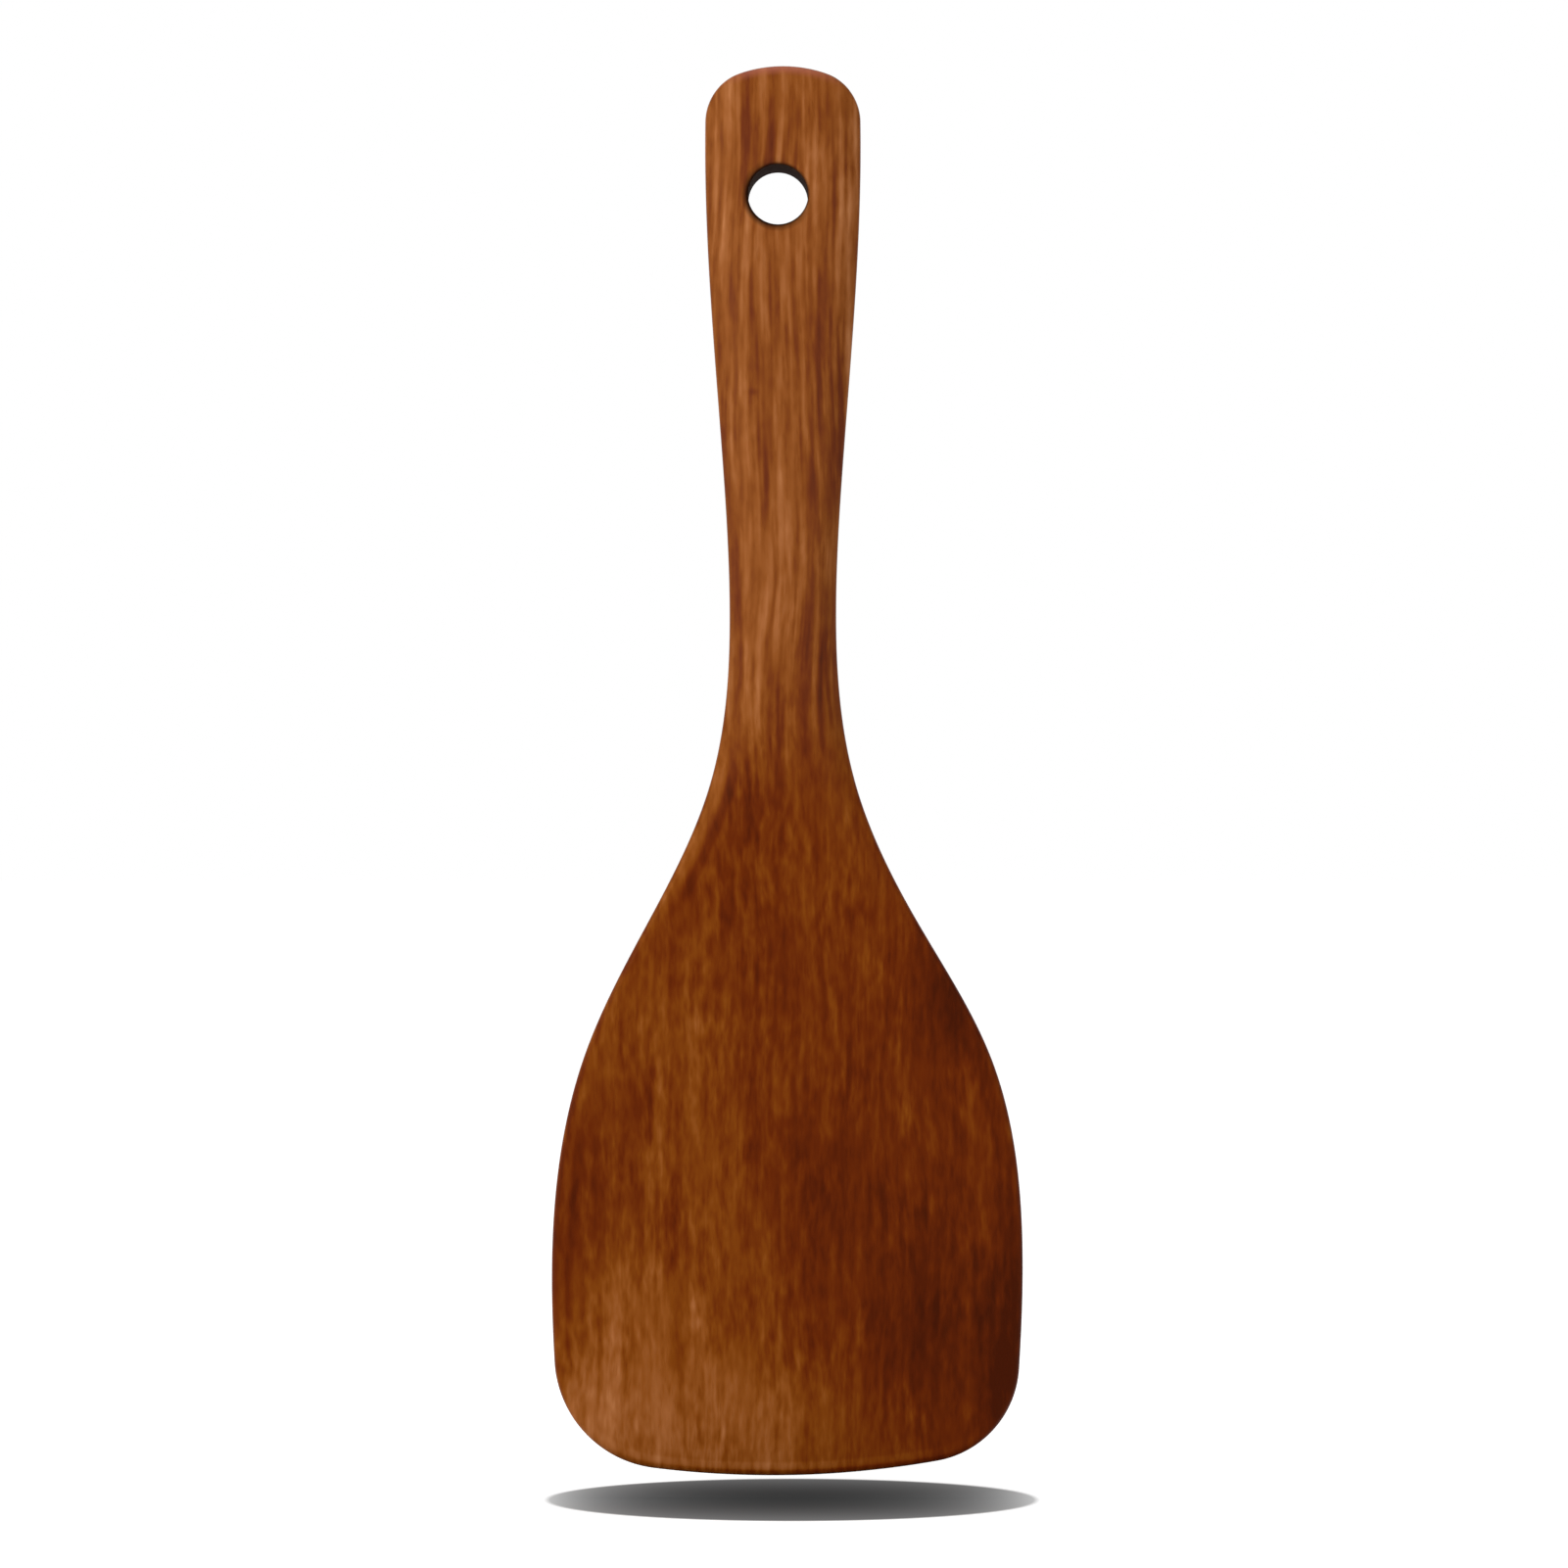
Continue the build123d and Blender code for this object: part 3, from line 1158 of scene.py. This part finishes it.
@dataclass(frozen=True)
class FloorFinish:
    """White paper that stays white to the camera, with a painted shadow: a soft dark oval under
    the tip.

    The painted shadow is darkest in its core, paler towards its edge, and palest at its two ends.
    """

    name: str = "white_paper_with_painted_shadow"
    paper: float = 0.82
    lift: float = 0.735
    shadow_x: float = 2.0
    shadow_across: float = 36.2
    shadow_deep: float = 19.0
    core: float = 0.035
    edge: float = 0.10
    ends: float = 0.32
    ends_power: float = 3.0
    border: tuple[float, float] = (0.86, 1.06)

    def material(self) -> bpy.types.Material:
        """Makes the finish.

        Returns:
            The material.
        """
        made = bpy.data.materials.new(self.name)
        made.use_nodes = True
        bench = NodeBench(made.node_tree)
        x, y, _ = bench.parts(bench.node("ShaderNodeNewGeometry").outputs["Position"])
        # The painted shadow: the paper darkens in a soft oval under the tip.
        across = bench.maths("DIVIDE", bench.maths("SUBTRACT", x, self.shadow_x * MM),
                             self.shadow_across * MM)
        deep = bench.maths("DIVIDE", y, self.shadow_deep * MM)
        across_square = bench.maths("MULTIPLY", across, across)
        square = bench.maths("MULTIPLY_ADD", deep, deep, across_square)
        shadow_tone = bench.maths("MULTIPLY_ADD", square, self.edge, self.core)
        ends = bench.maths("POWER", across_square, self.ends_power)
        shadow_tone = bench.maths("MULTIPLY_ADD", ends, self.ends, shadow_tone)
        outside = bench.spread(square, *self.border)
        shade = bench.maths("MAXIMUM", shadow_tone, outside, clamp=True)
        paper = bench.node("ShaderNodeBsdfDiffuse")
        bench.plug(bench.maths("MULTIPLY", shade, self.paper), paper.inputs["Color"])
        glow = bench.node("ShaderNodeEmission")
        bench.plug(shade, glow.inputs["Color"])
        bench.plug(bench.maths("MULTIPLY", seen_directly(bench), self.lift),
                   glow.inputs["Strength"])
        both = bench.node("ShaderNodeAddShader")
        bench.plug(paper.outputs[0], both.inputs[0])
        bench.plug(glow.outputs[0], both.inputs[1])
        output = bench.node("ShaderNodeOutputMaterial")
        bench.plug(both.outputs[0], output.inputs["Surface"])
        return made


class Lamp(NamedTuple):
    """A square softbox that looks at the middle of the paddle.

    Its azimuth runs from the front towards the right and its elevation upwards, in degrees. Its
    distance and size are in millimetres, and its power is in watts.
    """

    role: Role
    azimuth: float
    elevation: float
    distance: float
    size: float
    power: float


@dataclass
class Studio:
    """The floor, the lamps, the world and the camera.

    The frame is what the camera sees at the paddle's distance.
    """

    frame_width: float = 228.4
    frame_middle: tuple[float, float] = (0.86, -85.3)
    camera_distance: float = 630.0
    sensor: float = 36.0
    floor_height: float = -189.5
    floor_size: float = 8000.0
    ambient: float = 0.34
    white_behind: tuple[float, float] = (0.0, 0.25)
    view_range: tuple[float, float] = (0.01, 100.0)
    lamps: tuple[Lamp, ...] = (
        Lamp(Role.KEY, -44.0, 22.0, 900.0, 420.0, 4.7),
        Lamp(Role.FILL, 30.0, 12.0, 1200.0, 700.0, 2.6),
        Lamp(Role.TOP, 0.0, 82.0, 1000.0, 500.0, 1.8),
    )

    def floor(self) -> bpy.types.Object:
        """Lays the floor.

        Returns:
            The floor.
        """
        half, height = self.floor_size / 2 * MM, self.floor_height * MM
        mesh = bpy.data.meshes.new("studio_floor")
        corners = [(-half, -half, height), (half, -half, height), (half, half, height),
                   (-half, half, height)]
        mesh.from_pydata(corners, [], [(0, 1, 2, 3)])
        mesh.materials.append(FloorFinish().material())
        floor = bpy.data.objects.new("studio_floor", mesh)
        bpy.context.scene.collection.objects.link(floor)
        return floor

    def hang(self, lamp: Lamp) -> bpy.types.Object:
        """Hangs one lamp.

        Args:
            lamp: Its place, size and power.

        Returns:
            The lamp.
        """
        light = bpy.data.lights.new(lamp.role.value, "AREA")
        light.size = lamp.size * MM
        light.energy = lamp.power
        made = bpy.data.objects.new(lamp.role.value, light)
        turn, lift = math.radians(lamp.azimuth), math.radians(lamp.elevation)
        away = Vector((math.sin(turn) * math.cos(lift), -math.cos(turn) * math.cos(lift),
                       math.sin(lift)))
        middle = Vector((self.frame_middle[0], 0, self.frame_middle[1])) * MM
        made.location = middle + away * lamp.distance * MM
        made.rotation_euler = away.to_track_quat("Z", "Y").to_euler()
        bpy.context.scene.collection.objects.link(made)
        return made

    def world(self) -> bpy.types.World:
        """Makes the surroundings: white where they show, and a plain soft light elsewhere.

        Returns:
            The world.
        """
        made = bpy.data.worlds.new("studio_world")
        made.use_nodes = True
        bench = NodeBench(made.node_tree)
        rays = bench.node("ShaderNodeLightPath")
        toward = bench.node("ShaderNodeTexCoord").outputs["Generated"]
        behind = bench.spread(bench.parts(toward)[1], *self.white_behind)
        mirrored = bench.maths("MULTIPLY", rays.outputs["Is Glossy Ray"], behind)
        shown = bench.maths("MAXIMUM", rays.outputs["Is Camera Ray"],
                            rays.outputs["Is Transmission Ray"])
        shown = bench.maths("MAXIMUM", shown, mirrored)
        strength = bench.maths("MULTIPLY_ADD", shown, 1.0 - self.ambient, self.ambient)
        glow = bench.node("ShaderNodeBackground")
        bench.plug(strength, glow.inputs["Strength"])
        bench.plug((1.0, 1.0, 1.0), glow.inputs["Color"])
        output = bench.node("ShaderNodeOutputWorld")
        bench.plug(glow.outputs[0], output.inputs["Surface"])
        bpy.context.scene.world = made
        return made

    def camera(self) -> bpy.types.Object:
        """Sets the camera level, straight in front of the paddle.

        Returns:
            The camera.
        """
        lens = bpy.data.cameras.new("studio_camera")
        lens.sensor_width = self.sensor
        lens.lens = self.sensor * self.camera_distance / self.frame_width
        lens.clip_start, lens.clip_end = self.view_range
        made = bpy.data.objects.new("studio_camera", lens)
        across, up = self.frame_middle
        made.location = Vector((across, -self.camera_distance, up)) * MM
        made.rotation_euler = (math.pi / 2, 0, 0)
        bpy.context.scene.collection.objects.link(made)
        bpy.context.scene.camera = made
        return made

    def build(self) -> None:
        """Sets the whole studio up."""
        bpy.context.scene.view_settings.view_transform = "Standard"
        for made in (self.floor(), *map(self.hang, self.lamps), self.camera(), self.world()):
            log.info("studio: %s", made.name)


def report(piece: bpy.types.Object, note: str) -> None:
    """Logs a piece's name, its number of faces and what it is."""
    log.info("%s: %d faces, %s", piece.name, len(piece.data.polygons), note)


def main() -> None:
    """Builds the paddle and then the studio."""
    logging.basicConfig(level=logging.INFO, format="%(name)s %(message)s")
    board = CarvedBoard()
    paddle = board.build()
    board.dress(paddle)
    report(paddle, "handle, neck and blade in one board")
    Studio().build()


if __name__ == "__main__":
    main()
